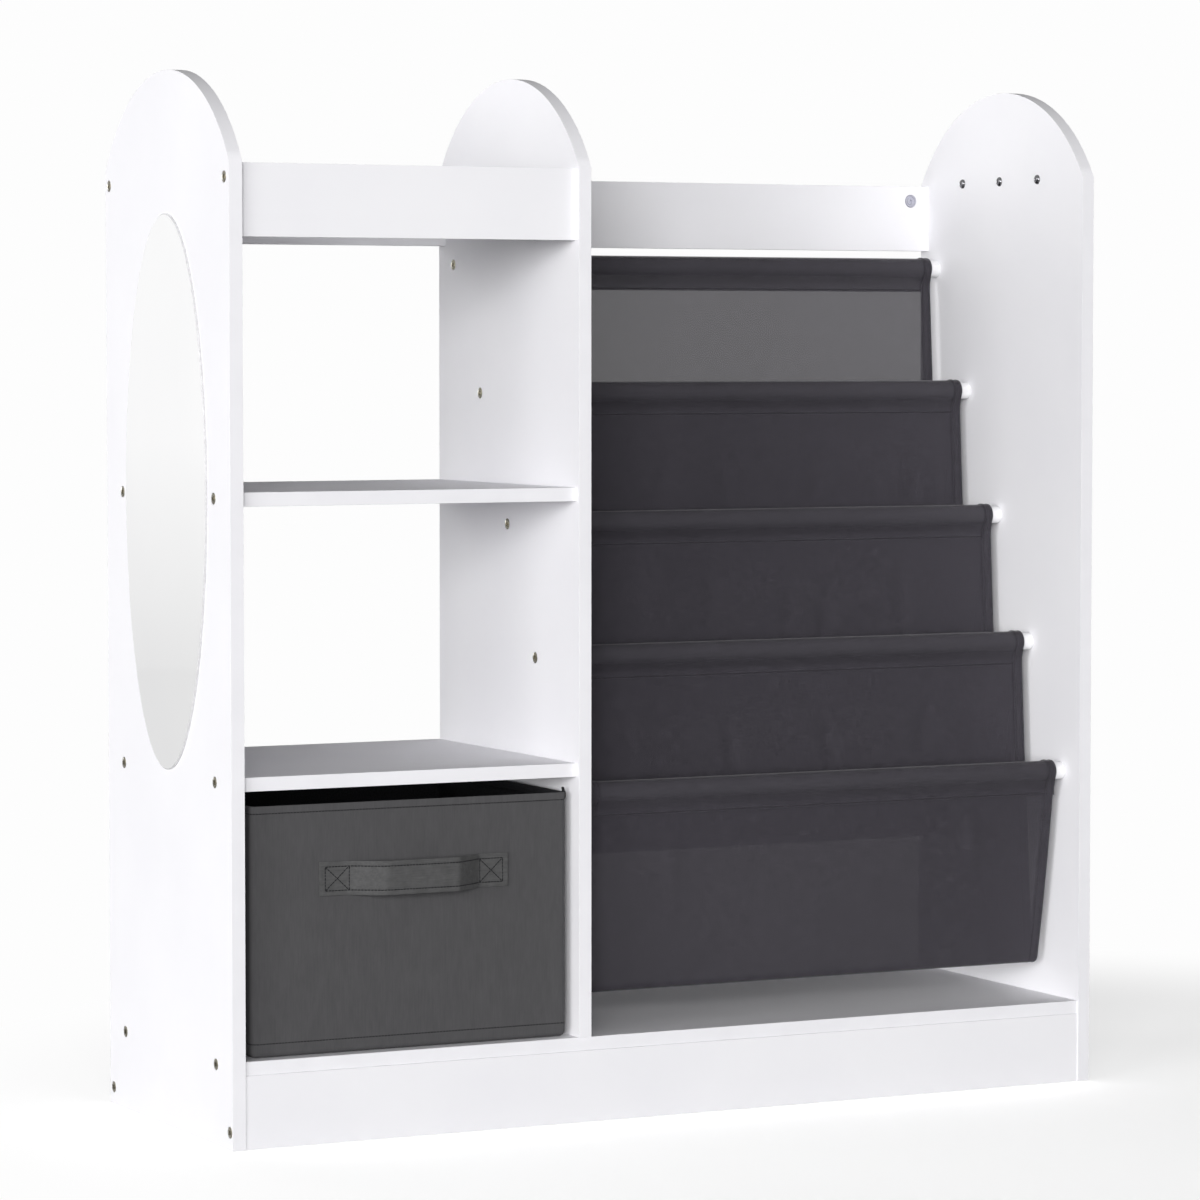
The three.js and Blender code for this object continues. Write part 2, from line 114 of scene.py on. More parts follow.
# The room is bright all round and dark above, so that little light comes from there.
room_brightness = 0.2
room_bright_up_to, room_dark_from = 0.1, 0.4
white_level = 0.983
far_floor_level = 0.79
wall_foot, wall_top = -0.075, -0.02
room = bpy.data.worlds.new("studio_room")
room.use_nodes = True
bpy.context.scene.world = room
tree = room.node_tree
tree.nodes.clear()
way = node(tree, "SeparateXYZ", Vector=node(tree, "TexCoord").outputs["Object"])
dimmer = node(
    tree, "MapRange", {"interpolation_type": "SMOOTHSTEP"}, Value=way.outputs["Z"],
    From_Min=room_bright_up_to, From_Max=room_dark_from, To_Min=room_brightness, To_Max=0,
)
light = node(tree, "Background", Color=(1, 1, 1, 1), Strength=dimmer.outputs["Result"])
backdrop = node(tree, "Background", Color=(1, 1, 1, 1), Strength=white_level)
wall = node(
    tree, "MapRange", Value=way.outputs["Z"],
    From_Min=wall_foot, From_Max=wall_top, To_Min=far_floor_level, To_Max=white_level,
)
mirrored = node(tree, "Background", Color=(1, 1, 1, 1), Strength=wall.outputs["Result"])
path = node(tree, "LightPath")
shown = mixed(tree, path.outputs["Is Glossy Ray"], backdrop, mirrored)
node(tree, "OutputWorld", Surface=mixed(tree, seen_directly(tree), light, shown).outputs[0])

floor_radius = 6
floor_drop = 0.3 * mm
floor_glow = 0.63
floor_bounce = 0.5
shadow_middle = (0.3, -0.1, 0)
shadow_full_to, shadow_gone_from = 0.55, 1.0
bpy.ops.mesh.primitive_circle_add(vertices=64, radius=floor_radius, fill_type="NGON")
floor = bpy.context.object
floor.name = "studio_floor"
floor.location.z = -floor_drop
bpy.ops.object.transform_apply(location=True)
board_paint = bpy.data.materials.new("floor_board")
board_paint.use_nodes = True
tree = board_paint.node_tree
tree.nodes.clear()
place = node(tree, "TexCoord")
grain = node(tree, "TexNoise", Vector=place.outputs["Object"], Scale=240, Detail=3)
tone = node(tree, "ValToRGB", Fac=grain.outputs["Fac"])
tone.color_ramp.elements[0].color = (0.97, 0.97, 0.97, 1)
tone.color_ramp.elements[1].color = (1.0, 1.0, 1.0, 1)
matt = node(tree, "BsdfDiffuse", Color=tone.outputs["Color"])
glow = node(tree, "Emission", Strength=floor_glow)
near = node(tree, "AddShader")
tree.links.new(matt.outputs[0], near.inputs[0])
tree.links.new(glow.outputs[0], near.inputs[1])
path = node(tree, "LightPath")
far = mixed(
    tree, path.outputs["Is Glossy Ray"], node(tree, "Emission", Strength=white_level),
    node(tree, "Emission", Strength=far_floor_level),
)
distance = node(tree, "VectorMath", {"operation": "DISTANCE"})
tree.links.new(place.outputs["Object"], distance.inputs[0])
distance.inputs[1].default_value = shadow_middle
far_share = node(
    tree, "MapRange", {"interpolation_type": "SMOOTHSTEP"}, Value=distance.outputs["Value"],
    From_Min=shadow_full_to, From_Max=shadow_gone_from, To_Min=0, To_Max=1,
)
seen = mixed(tree, far_share.outputs["Result"], near, far)
dull = node(tree, "BsdfDiffuse", Color=(floor_bounce, floor_bounce, floor_bounce, 1))
node(tree, "OutputMaterial", Surface=mixed(tree, seen_directly(tree), dull, seen).outputs[0])
floor.data.materials.append(board_paint)


lamp_distance = 20
lamp_aim = Vector((0, 0, 0.45))
lamp_width = 9.7


def soft_lamp(name, turn, height, tall, watts):
    """A lamp that faces the unit. Turn is how far it stands round to the left, in degrees."""
    turn = math.radians(turn)
    place = Vector((-lamp_distance * math.sin(turn), -lamp_distance * math.cos(turn), height))
    bpy.ops.object.light_add(type="AREA", location=place)
    lamp = bpy.context.object
    lamp.name = name
    lamp.data.shape = "RECTANGLE"
    lamp.data.size = lamp_width
    lamp.data.size_y = tall
    lamp.data.energy = watts
    lamp.visible_camera = False
    lamp.rotation_euler = (lamp_aim - place).to_track_quat("-Z", "Y").to_euler()


soft_lamp("front_lamp", 28, 3.2, 6.9, 3150)
soft_lamp("corner_lamp", 62, 3.2, 6.9, 1670)
soft_lamp("left_lamp", 80, 2.9, 6.9, 390)
soft_lamp("back_lamp", 110, 3.2, 6.9, 900)
soft_lamp("right_fill", -95, 1.2, 2.2, 420)
soft_lamp("rear_fill", -175, 1.2, 2.2, 480)

# The white boards. The two sides, the divider, the shelves, rails and plinths are 12 mm particle
# board with a white laminate on both faces and a white plastic edging pressed round every cut
# edge. Each is taken from its CAD board, with the sharp corners eased as the edging's trimmer
# leaves them.


def principled(name):
    """A new material, its node tree and its surface node."""
    made = bpy.data.materials.new(name)
    made.use_nodes = True
    return made, made.node_tree, made.node_tree.nodes["Principled BSDF"]


def colour_by(tree, surface, fac, dark, light, low, high):
    """Makes the surface's colour go from dark to light as fac goes from low to high."""
    ramp = node(tree, "ValToRGB", Fac=fac)
    for stop, place, colour in zip(ramp.color_ramp.elements, (low, high), (dark, light)):
        stop.position = place
        stop.color = (*colour, 1)
    tree.links.new(ramp.outputs["Color"], surface.inputs["Base Color"])


def roughness_by(tree, surface, fac, low, high):
    """Makes the surface's roughness go from low to high as fac goes from 0 to 1."""
    rough = node(tree, "MapRange", Value=fac, To_Min=low, To_Max=high)
    tree.links.new(rough.outputs["Result"], surface.inputs["Roughness"])


def object_noise(tree, scale, stretch=(1, 1, 1), detail=2.0, roughness=0.5):
    """Noise on the piece's own metres, drawn out along the axes whose stretch is below 1."""
    place = node(tree, "TexCoord")
    turned = node(tree, "Mapping", Vector=place.outputs["Object"], Scale=stretch)
    grain = node(
        tree, "TexNoise", Vector=turned.outputs["Vector"],
        Scale=scale, Detail=detail, Roughness=roughness,
    )
    return grain.outputs["Fac"]


def add_bump(tree, surface, height, depth, strength=1.0):
    """Raises the surface by height times depth, in metres, on top of any bump that is there."""
    under = surface.inputs["Normal"]
    bump = node(tree, "Bump", Height=height, Distance=depth, Strength=strength)
    if under.is_linked:
        tree.links.new(under.links[0].from_socket, bump.inputs["Normal"])
    tree.links.new(bump.outputs["Normal"], under)


laminate, tree, surface = principled("white_laminate")
peel = object_noise(tree, 620, detail=1)
handling = object_noise(tree, 7, detail=4)
colour_by(tree, surface, handling, (0.86, 0.855, 0.885), (0.885, 0.88, 0.905), 0.35, 0.65)
roughness_by(tree, surface, handling, 0.74, 0.84)
surface.inputs["Specular IOR Level"].default_value = 0.1
add_bump(tree, surface, peel, 0.03 * mm, 0.5)

edging, tree, surface = principled("white_edging")
ripple = object_noise(tree, 380, detail=2)
wear = object_noise(tree, 26, detail=5)
colour_by(tree, surface, wear, (0.84, 0.835, 0.865), (0.875, 0.87, 0.90), 0.3, 0.7)
roughness_by(tree, surface, wear, 0.55, 0.68)
surface.inputs["Specular IOR Level"].default_value = 0.25
add_bump(tree, surface, ripple, 0.04 * mm, 0.6)


def shape_with(piece, kind, **settings):
    """Adds a modifier to a finished piece and applies it."""
    only(piece)
    modifier = piece.modifiers.new(kind.lower(), kind)
    for name, value in settings.items():
        setattr(modifier, name, value)
    bpy.ops.object.modifier_apply(modifier=modifier.name)


def ease_edges(piece, width, segments, degrees):
    """Rounds every edge whose faces meet at more than this angle."""
    shape_with(
        piece, "BEVEL", width=width, segments=segments, limit_method="ANGLE",
        angle_limit=math.radians(degrees),
    )


def smooth_faces(piece):
    """Smooth shading in which the flat faces stay flat and only the eased corners turn."""
    only(piece)
    bpy.ops.object.shade_smooth()
    shape_with(piece, "WEIGHTED_NORMAL", weight=80)


# How much of a face's normal lies along an axis when the face counts as square to it.
square_on = 0.95


def eased_board(part):
    """A board taken from its CAD part, with its corners eased and its edging in place."""
    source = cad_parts[part]
    board = bpy.data.objects.new("white_" + part, source.data.copy())
    bpy.context.collection.objects.link(board)
    only(board)
    bpy.ops.object.mode_set(mode="EDIT")
    bpy.ops.mesh.select_all(action="SELECT")
    bpy.ops.mesh.remove_doubles(threshold=0.01 * mm)
    bpy.ops.mesh.customdata_custom_splitnormals_clear()
    bpy.ops.mesh.dissolve_limited(angle_limit=math.radians(1))
    bpy.ops.object.mode_set(mode="OBJECT")
    ease_edges(board, 0.5 * mm, 2, 40)
    board.data.materials.clear()
    board.data.materials.append(laminate)
    board.data.materials.append(edging)
    sizes = board.dimensions
    across = min(range(3), key=lambda axis: sizes[axis])
    for face in board.data.polygons:
        face.material_index = 0 if abs(face.normal[across]) > square_on else 1
    smooth_faces(board)
    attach(board, "case")
    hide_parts(part)


for part in (
    "left_side_panel", "divider_panel", "right_side_panel", "bottom_board", "lower_shelf",
    "middle_shelf", "front_plinth", "back_plinth", "left_front_rail", "left_back_rail",
    "right_back_rail",
):
    eased_board(part)

# The connecting screws. Steel screws with a flat round head and a hexagonal socket hold the boards
# and the dowels together. They go through the left side and the divider from the left, and through
# the right side from the right, and each head lies flush with the board.


def close_end():
    """Fills the open end of the piece in edit mode, turns its faces outward and ends the mode."""
    bpy.ops.mesh.select_all(action="DESELECT")
    bpy.ops.mesh.select_mode(type="EDGE")
    bpy.ops.mesh.select_non_manifold()
    bpy.ops.mesh.edge_face_add()
    bpy.ops.mesh.select_all(action="SELECT")
    bpy.ops.mesh.normals_make_consistent(inside=False)
    bpy.ops.mesh.select_mode(type="FACE")
    bpy.ops.object.mode_set(mode="OBJECT")


def turned(name, sides, profile):
    """A closed round piece on the Z axis. The profile lists (height, radius) from its foot up."""
    (foot, radius), *rest = profile
    bpy.ops.mesh.primitive_circle_add(
        vertices=sides, radius=radius, fill_type="NGON", location=(0, 0, foot)
    )
    piece = bpy.context.object
    piece.name = name
    bpy.ops.object.transform_apply(location=True)
    bpy.ops.object.mode_set(mode="EDIT")
    bpy.ops.mesh.select_all(action="SELECT")
    for height, wide in rest:
        bpy.ops.mesh.extrude_region_move(
            TRANSFORM_OT_translate={"value": (0, 0, height - foot)}
        )
        share = wide / radius
        bpy.ops.transform.resize(value=(share, share, 1), center_override=(0, 0, height))
        foot, radius = height, wide
    close_end()
    return piece


def facing(way):
    """The turn that points a piece's Z axis along a way."""
    return Vector(way).to_track_quat("Z", "Y").to_matrix().to_4x4()


def smooth_below(piece, degrees):
    """Smooth shading across every edge whose faces meet at less than this angle."""
    only(piece)
    bpy.ops.object.shade_smooth_by_angle(angle=math.radians(degrees))


def cut_away(piece, cutter):
    """Takes the cutter's shape out of the piece, and the cutter itself out of the scene."""
    shape_with(piece, "BOOLEAN", operation="DIFFERENCE", object=cutter, solver="EXACT")
    bpy.data.objects.remove(cutter)


def cut_socket(screw, radius, depth):
    """Cuts the hexagonal socket into the head of a screw that stands on its head at the origin."""
    bpy.ops.mesh.primitive_cylinder_add(
        vertices=6, radius=radius, depth=2 * depth, location=(0, 0, 0)
    )
    cut_away(screw, bpy.context.object)


def placed_copy(model, name, place):
    """A copy of a finished model, with its own mesh, turned and moved by a matrix."""
    copy = bpy.data.objects.new(name, model.data.copy())
    bpy.context.collection.objects.link(copy)
    copy.data.transform(place)
    return copy


screw_steel, tree, surface = principled("screw_steel")
brushed = object_noise(tree, 900, detail=3)
colour_by(tree, surface, brushed, (0.15, 0.14, 0.105), (0.27, 0.25, 0.20), 0.3, 0.7)
surface.inputs["Metallic"].default_value = 1
roughness_by(tree, surface, brushed, 0.2, 0.32)
add_bump(tree, surface, brushed, 0.02 * mm, 0.4)

head_radius = 4.9 * mm
head_depth = 2 * mm
shank_radius = 2.5 * mm
screw_length = 40 * mm
tip_length = 4 * mm
screw_model = turned("screw_model", 32, [
    (0, head_radius - 0.45 * mm), (0.2 * mm, head_radius - 0.12 * mm), (0.5 * mm, head_radius),
    (head_depth - 0.5 * mm, head_radius), (head_depth, head_radius - 0.5 * mm),
    (head_depth + 0.02 * mm, shank_radius + 0.3 * mm),
    (head_depth + 1 * mm, shank_radius - 0.05 * mm),
    (screw_length - tip_length, shank_radius - 0.05 * mm), (screw_length - 0.4 * mm, 0.9 * mm),
    (screw_length, 0.4 * mm),
])
cut_socket(screw_model, radius=2.3 * mm, depth=1.3 * mm)
smooth_below(screw_model, 35)
screw_model.data.materials.append(screw_steel)

leftward, rightward = facing((-1, 0, 0)), facing((1, 0, 0))
screw_names = [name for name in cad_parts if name.endswith("_screw") and "peg" not in name]
for name in sorted(screw_names):
    low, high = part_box(name)
    from_right = name.endswith("right_screw")
    head_x = high.x if from_right else low.x
    middle = (low + high) / 2
    place = Matrix.Translation((head_x, middle.y, middle.z))
    turn = leftward if from_right else rightward
    screw = placed_copy(screw_model, "steel_" + name, place @ turn)
    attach(screw, "case")
    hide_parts(name)
bpy.data.objects.remove(screw_model)

# The cam locks and their bolts. A zinc disc in a blind hole near each end of the right bay's rail
# grips the head of a bolt in the side board when its cross is turned.

cam_zinc, tree, surface = principled("cam_zinc")
cast = object_noise(tree, 1400, detail=2)
colour_by(tree, surface, cast, (0.50, 0.50, 0.56), (0.62, 0.62, 0.69), 0.3, 0.7)
surface.inputs["Metallic"].default_value = 1
roughness_by(tree, surface, cast, 0.38, 0.55)
add_bump(tree, surface, cast, 0.03 * mm, 0.6)

cam_radius = 5.9 * mm
cam_depth = 9 * mm
cross_size = (5.6 * mm, 0.9 * mm, 2.4 * mm)
cam_model = turned("cam_model", 40, [
    (0, cam_radius - 0.5 * mm), (0.5 * mm, cam_radius), (cam_depth - 0.6 * mm, cam_radius),
    (cam_depth - 0.1 * mm, cam_radius - 0.3 * mm), (cam_depth - 0.1 * mm, cam_radius - 1.3 * mm),
    (cam_depth - 0.8 * mm, cam_radius - 1.6 * mm), (cam_depth - 0.8 * mm, cam_radius - 2.2 * mm),
    (cam_depth - 0.2 * mm, cam_radius - 2.5 * mm), (cam_depth - 0.2 * mm, 1.3 * mm),
    (cam_depth - 2.4 * mm, 1.0 * mm),
])
for turn in (0, math.pi / 2):
    bpy.ops.mesh.primitive_cube_add(size=1, location=(0, 0, cam_depth), rotation=(0, 0, turn))
    blade = bpy.context.object
    blade.scale = cross_size
    bpy.ops.object.transform_apply(location=True, rotation=True, scale=True)
    cut_away(cam_model, blade)
smooth_below(cam_model, 35)
cam_model.data.materials.append(cam_zinc)

for side in ("left", "right"):
    low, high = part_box("cam_lock_" + side)
    middle = (low + high) / 2
    place = Matrix.Translation((middle.x, low.y + cam_depth - 0.1 * mm, middle.z))
    cam = placed_copy(cam_model, "zinc_cam_" + side, place @ facing((0, -1, 0)))
    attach(cam, "case")
    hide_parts("cam_lock_" + side)

    low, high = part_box("cam_bolt_" + side)
    long = high.x - low.x
    bolt = turned("steel_bolt_" + side, 24, [
        (0, 2.1 * mm), (0.4 * mm, 2.5 * mm), (2 * mm, 2.5 * mm), (2.4 * mm, 1.7 * mm),
        (4.4 * mm, 1.7 * mm), (4.8 * mm, 2.5 * mm), (long - 1 * mm, 2.5 * mm), (long, 1.6 * mm),
    ])
    start, turn = (high.x, leftward) if side == "left" else (low.x, rightward)
    middle = (low + high) / 2
    bolt.data.transform(Matrix.Translation((start, middle.y, middle.z)) @ turn)
    smooth_below(bolt, 35)
    bolt.data.materials.append(screw_steel)
    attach(bolt, "case")
    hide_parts("cam_bolt_" + side)
bpy.data.objects.remove(cam_model)

# The coat pegs. Three turned wooden pegs, sprayed white, stand in a row on the outside of the right
# side. Each is held from the inside by a polished round-headed screw, its steel coloured dark as a
# painted reflection of dark surroundings.

paint, tree, surface = principled("white_paint")
brush = object_noise(tree, 480, detail=2)
grain = object_noise(tree, 90, stretch=(0.12, 1, 1), detail=4)
colour_by(tree, surface, grain, (0.85, 0.85, 0.865), (0.89, 0.89, 0.90), 0.35, 0.65)
roughness_by(tree, surface, grain, 0.3, 0.42)
surface.inputs["Coat Weight"].default_value = 0.2
surface.inputs["Coat Roughness"].default_value = 0.25
add_bump(tree, surface, brush, 0.03 * mm, 0.5)
add_bump(tree, surface, grain, 0.05 * mm, 0.4)

peg_model = turned("peg_model", 48, [
    (0, 9.6 * mm), (0.4 * mm, 10 * mm), (3 * mm, 10 * mm), (3.7 * mm, 9.5 * mm), (4 * mm, 8.6 * mm),
    (4.6 * mm, 7.6 * mm), (6 * mm, 7.0 * mm), (9 * mm, 6.8 * mm), (13 * mm, 6.8 * mm),
    (16.5 * mm, 7.0 * mm), (18.8 * mm, 7.8 * mm), (20.4 * mm, 9.4 * mm), (21.4 * mm, 10.9 * mm),
    (22.6 * mm, 11.7 * mm), (24.2 * mm, 12 * mm), (26 * mm, 11.7 * mm), (27.6 * mm, 10.8 * mm),
    (28.8 * mm, 9.3 * mm), (29.6 * mm, 7 * mm), (29.95 * mm, 4 * mm), (30 * mm, 1.5 * mm),
])
smooth_below(peg_model, 50)
peg_model.data.materials.append(paint)

# Polished steel coloured dark: painted reflection of dark surroundings, not the steel's own pale
# tone.
steel_painted_dark_reflection, tree, surface = principled("steel_painted_dark_reflection")
rub = object_noise(tree, 700, detail=2)
colour_by(tree, surface, rub, (0.13, 0.13, 0.135), (0.20, 0.20, 0.21), 0.3, 0.7)
surface.inputs["Metallic"].default_value = 1
roughness_by(tree, surface, rub, 0.1, 0.2)
add_bump(tree, surface, rub, 0.01 * mm, 0.3)

for number in (1, 2, 3):
    part = f"coat_peg_{number}"
    low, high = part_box(part)
    middle = (low + high) / 2
    place = Matrix.Translation((low.x, middle.y, middle.z))
    peg = placed_copy(peg_model, f"turned_peg_{number}", place @ rightward)
    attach(peg, "case")
    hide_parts(part)

    low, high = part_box(part + "_screw")
    long = high.x - low.x
    screw = turned(f"steel_peg_screw_{number}", 36, [
        (0, 1 * mm), (0.12 * mm, 2.2 * mm), (0.5 * mm, 3.3 * mm), (1.1 * mm, 4.1 * mm),
        (1.8 * mm, 4.45 * mm), (2.2 * mm, 4.45 * mm), (2.35 * mm, 4.2 * mm), (2.37 * mm, 2 * mm),
        (long - 3 * mm, 2 * mm), (long, 0.5 * mm),
    ])
    cut_socket(screw, radius=1.1 * mm, depth=0.9 * mm)
    middle = (low + high) / 2
    screw.data.transform(Matrix.Translation((low.x, middle.y, middle.z)) @ rightward)
    smooth_below(screw, 40)
    screw.data.materials.append(steel_painted_dark_reflection)
    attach(screw, "case")
    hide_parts(part + "_screw")
bpy.data.objects.remove(peg_model)

# The dowels. Five round rods, painted white, run across the right bay in a line that falls from the
# back to the front. The sling hangs from them, and a screw through the boards holds each end.


def cross_cuts(axis, places):
    """Cuts every face of the piece in edit mode across one axis at each place."""
    along = Vector((axis == 0, axis == 1, axis == 2))
    for place in places:
        bpy.ops.mesh.select_all(action="SELECT")
        bpy.ops.mesh.bisect(plane_co=along * place, plane_no=along)


dowel_spots = []
rod_chamfer = 0.7 * mm
rod_lengths = 5
for number in range(1, 6):
    part = f"dowel_{number}"
    low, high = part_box(part)
    middle = (low + high) / 2
    dowel_spots.append((middle.y, middle.z))
    long, thick = high.x - low.x, (high.z - low.z) / 2
    rod = turned("painted_" + part, 48, [
        (0, thick - rod_chamfer), (rod_chamfer, thick),
        (long - rod_chamfer, thick), (long, thick - rod_chamfer),
    ])
    bpy.ops.object.mode_set(mode="EDIT")
    cross_cuts(2, [long * step / rod_lengths for step in range(1, rod_lengths)])
    bpy.ops.object.mode_set(mode="OBJECT")
    rod.data.transform(Matrix.Translation((low.x, middle.y, middle.z)) @ rightward)
    smooth_below(rod, 30)
    rod.data.materials.append(paint)
    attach(rod, "case")
    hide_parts(part)

# The sling. One long strip of thin charcoal cloth hangs from the five dowels and makes four
# pockets. It goes over each dowel in a sleeve, sewn through both layers just below the rod, and
# down into a fold between one dowel and the next. Both long sides are hemmed with two rows of
# stitches.

low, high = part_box("sling_sleeve_1")
sling_middle = (low.x + high.x) / 2
sling_width = high.x - low.x
cloth = 0.9 * mm
half_gap = 0.65 * mm
sleeve_radius = 8.8 * mm
sleeve_tail = 15 * mm
seam_drop = 20.4 * mm
sleeve_drop = 22.3 * mm
fold_radius = 4.5 * mm
fold_back = 30.5 * mm
fold_drop = 177 * mm
panel_bow = 2.5 * mm
panel_wave, wave_turns = 1.6 * mm, 1.2
sleeve_sink = 0.6 * mm
edge_from = 0.93
sleeve_draw, fold_draw = 0.0105, 0.006
sleeve_steps = 22
tail_steps = 4
down_steps, turn_steps, up_steps = 34, 10, 26


class Row:
    """One line across the sling: its place, the side that faces the dowel, and how it hangs."""

    def __init__(self, y, z, sleeve=0.0, down=0.0, fold=0.0, panel=-1, seam=False):
        self.y, self.z = y, z
        self.sleeve, self.down, self.fold = sleeve, down, fold
        self.panel, self.seam = panel, seam
        self.along = 0.0
        self.inward = (0.0, 0.0)


def sleeve_rows(y, z):
    """The cloth's way over a dowel, from the lower edge of its back layer to that of its front."""
    reach = math.hypot(half_gap, sleeve_tail)
    start = math.atan2(-sleeve_tail, half_gap) + math.acos(sleeve_radius / reach)
    sweep = math.pi - 2 * start
    over = []
    for step in range(sleeve_steps + 1):
        angle = start + sweep * step / sleeve_steps
        over.append(Row(
            y + sleeve_radius * math.cos(angle), z + sleeve_radius * math.sin(angle), sleeve=1.0
        ))
    rising = [
        Row(y + half_gap, z - sleeve_drop), Row(y + 0.8 * half_gap, z - seam_drop, seam=True),
        Row(y + half_gap, z - (seam_drop + sleeve_tail) / 2),
    ]
    for step in range(tail_steps):
        share = step / tail_steps
        rising.append(Row(
            y + half_gap + (over[0].y - y - half_gap) * share,
            z - sleeve_tail + (over[0].z - z + sleeve_tail) * share, sleeve=share,
        ))
    falling = [Row(2 * y - row.y, row.z, sleeve=row.sleeve, seam=row.seam) for row in rising]
    return rising + over + falling[::-1]


def panel_rows(start, end, side, steps, number):
    """The cloth's way down or up one side of a pocket, bowed a little by its own weight."""
    middle_y = (start[0] + end[0]) / 2 + side * panel_bow
    middle_z = (start[1] + end[1]) / 2
    made = []
    for step in range(1, steps):
        t = step / steps
        made.append(Row(
            (1 - t) ** 2 * start[0] + 2 * t * (1 - t) * middle_y + t * t * end[0],
            (1 - t) ** 2 * start[1] + 2 * t * (1 - t) * middle_z + t * t * end[1],
            down=t, panel=number,
        ))
    return made


def pocket_rows(number, back_dowel, front_dowel):
    """The cloth's way from a seam down a back panel, round its fold and up to the next seam."""
    fold_y, fold_z = front_dowel[0] + fold_back, front_dowel[1] - fold_drop
    down = panel_rows(
        (back_dowel[0] - half_gap, back_dowel[1] - sleeve_drop), (fold_y + fold_radius, fold_z),
        1, down_steps, 2 * number,
    )
    turn = []
    for step in range(turn_steps + 1):
        angle = -math.pi * step / turn_steps
        turn.append(Row(
            fold_y + fold_radius * math.cos(angle), fold_z + fold_radius * math.sin(angle),
            fold=-math.sin(angle), panel=2 * number,
        ))
    up = panel_rows(
        (fold_y - fold_radius, fold_z), (front_dowel[0] + half_gap, front_dowel[1] - sleeve_drop),
        -1, up_steps, 2 * number + 1,
    )
    return down + turn + up


rows = []
for index, spot in enumerate(dowel_spots):
    rows += sleeve_rows(*spot)
    if index < len(dowel_spots) - 1:
        rows += pocket_rows(index, spot, dowel_spots[index + 1])
for here, row in enumerate(rows):
    before, after = rows[max(here - 1, 0)], rows[min(here + 1, len(rows) - 1)]
    step_y, step_z = after.y - before.y, after.z - before.z
    step = math.hypot(step_y, step_z)
    row.inward = (-step_z / step, step_y / step)
    if here:
        last = rows[here - 1]
        row.along = last.along + math.hypot(row.y - last.y, row.z - last.z)

# A few shallow creases in each panel that shows: the panel, how many, how far down, and how long.
crease_span = 0.84
crease_fades = 3
crease_picks = random.Random(11)
creases = []
for panel, count, least, most, reach in (
    (0, 2, 0.15, 0.28, 0.08), (2, 5, 0.17, 0.27, 0.08), (4, 5, 0.17, 0.27, 0.08),
    (6, 4, 0.17, 0.27, 0.08), (7, 2, 0.55, 0.78, 0.15),
):
    for number in range(count):
        creases.append((
            panel,
            -crease_span / 2 + crease_span * (number + crease_picks.uniform(0.2, 0.8)) / count,
            crease_picks.uniform(5.5, 8) * mm, crease_picks.uniform(1.8, 3.0) * mm,
            crease_picks.uniform(least, most), reach * crease_picks.uniform(0.8, 1.3),
            crease_picks.uniform(-0.012, 0.012),
        ))


def hang(across, row, lift=0.0):
    """A point of the flat strip, across metres from its middle, where it hangs on the dowels."""
    share = across / (sling_width / 2)
    edge = min(1.0, max(0.0, (abs(share) - edge_from) / (1 - edge_from)))
    edge = edge * edge * (3 - 2 * edge)
    ease = 0.0
    if row.panel >= 0:
        middle = 1 - min(1.0, share * share)
        belly = math.sin(math.pi * row.down) * middle
        ease += panel_wave * belly * math.sin(wave_turns * math.pi * share + row.panel)
        for panel, place, width, depth, height, reach, slant in creases:
            if panel == row.panel:
                down = (row.down - height) / reach
                off = (across - (place + slant * down) * sling_width) / width
                if abs(off) < crease_fades and abs(down) < crease_fades:
                    ease += depth * math.exp(-off * off - down * down)
    offset = lift + ease - sleeve_sink * row.sleeve * (1 - edge)
    pull = 1 - (sleeve_draw * row.sleeve + fold_draw * row.fold) * edge
    return Vector((
        sling_middle + across * pull,
        row.y + row.inward[0] * offset,
        row.z + row.inward[1] * offset,
    ))


def thickened(sheet, thickness):
    """Gives an open sheet its thickness, half of it to either side."""
    only(sheet)
    bpy.ops.object.mode_set(mode="EDIT")
    bpy.ops.mesh.select_all(action="SELECT")
    bpy.ops.mesh.normals_make_consistent(inside=False)
    bpy.ops.object.mode_set(mode="OBJECT")
    shape_with(sheet, "SOLIDIFY", thickness=thickness, offset=0, use_even_offset=True)


def hung_strip(name, start, end, columns, lift):
    """Part of the strip from start to end across, cut flat and then hung, as a piece of cloth."""
    bpy.ops.mesh.primitive_grid_add(x_subdivisions=columns, y_subdivisions=len(rows) - 1, size=1)
    piece = bpy.context.object
    piece.name = name
    mesh = piece.data
    flat = []
    for vertex in mesh.vertices:
        row = rows[round((vertex.co.y + 0.5) * (len(rows) - 1))]
        across = start + (end - start) * (vertex.co.x + 0.5)
        flat.append((across, row.along))
        vertex.co = hang(across, row, lift)
    for loop in mesh.loops:
        mesh.uv_layers[0].data[loop.index].uv = flat[loop.vertex_index]
    thickened(piece, cloth)
    smooth_below(piece, 50)
    return piece


sling_cloth, tree, surface = principled("sling_cloth")
place = node(tree, "UVMap")
across_threads = node(tree, "Mapping", Vector=place.outputs["UV"], Scale=(1, 0.05, 1))
down_threads = node(tree, "Mapping", Vector=place.outputs["UV"], Scale=(0.05, 1, 1))
warp = node(tree, "TexNoise", Vector=across_threads.outputs["Vector"], Scale=1500, Detail=2)
weft = node(tree, "TexNoise", Vector=down_threads.outputs["Vector"], Scale=1500, Detail=2)
threads = worked(tree, "MAXIMUM", warp.outputs["Fac"], weft.outputs["Fac"])
colour_by(tree, surface, threads, (0.036, 0.033, 0.041), (0.080, 0.074, 0.090), 0.4, 0.75)
roughness_by(tree, surface, threads, 0.95, 0.7)
surface.inputs["Specular IOR Level"].default_value = 0.25
surface.inputs["Sheen Weight"].default_value = 0.2
surface.inputs["Sheen Roughness"].default_value = 0.4
surface.inputs["Alpha"].default_value = 0.69
add_bump(tree, surface, threads, 0.25 * mm, 0.6)

